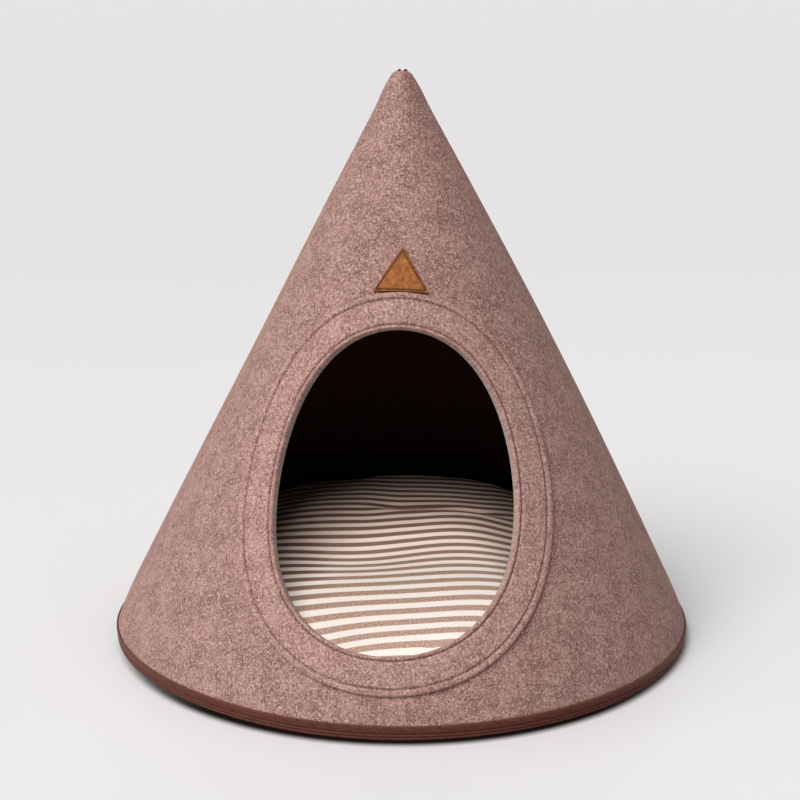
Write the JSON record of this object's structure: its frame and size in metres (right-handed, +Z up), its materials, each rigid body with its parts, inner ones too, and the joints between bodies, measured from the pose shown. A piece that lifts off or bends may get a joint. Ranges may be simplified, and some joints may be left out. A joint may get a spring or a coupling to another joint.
{
  "type": "dog teepee bed",
  "caption": "Cone-shaped felt pet bed with an oval doorway edged by a stitched felt facing, a tape-bound felt floor, a striped filled cushion and a bare leather patch.",
  "frame": {"origin": "on the ground under the middle of the round floor", "axes": "+Z up along the cone, -Y out of the doorway, +X to the right of someone who faces the doorway"},
  "size_m": [0.5, 0.5, 0.4868],
  "materials": {
    "felt": "thick heathered mauve wool felt, dark brown on the wall's inner face",
    "tape": "woven brown binding tape",
    "cushion_cover": "woven cotton in cream and taupe stripes",
    "leather": "tan leather with a stitched border"
  },
  "bodies": {
    "root": {"felt_cone": "felt", "door_facing": "felt", "base_panel": "felt", "base_binding": "tape", "cushion": "cushion_cover", "leather_label": "leather", "tip_tape_left": "tape", "tip_tape_right": "tape"}
  },
  "joints": []
}
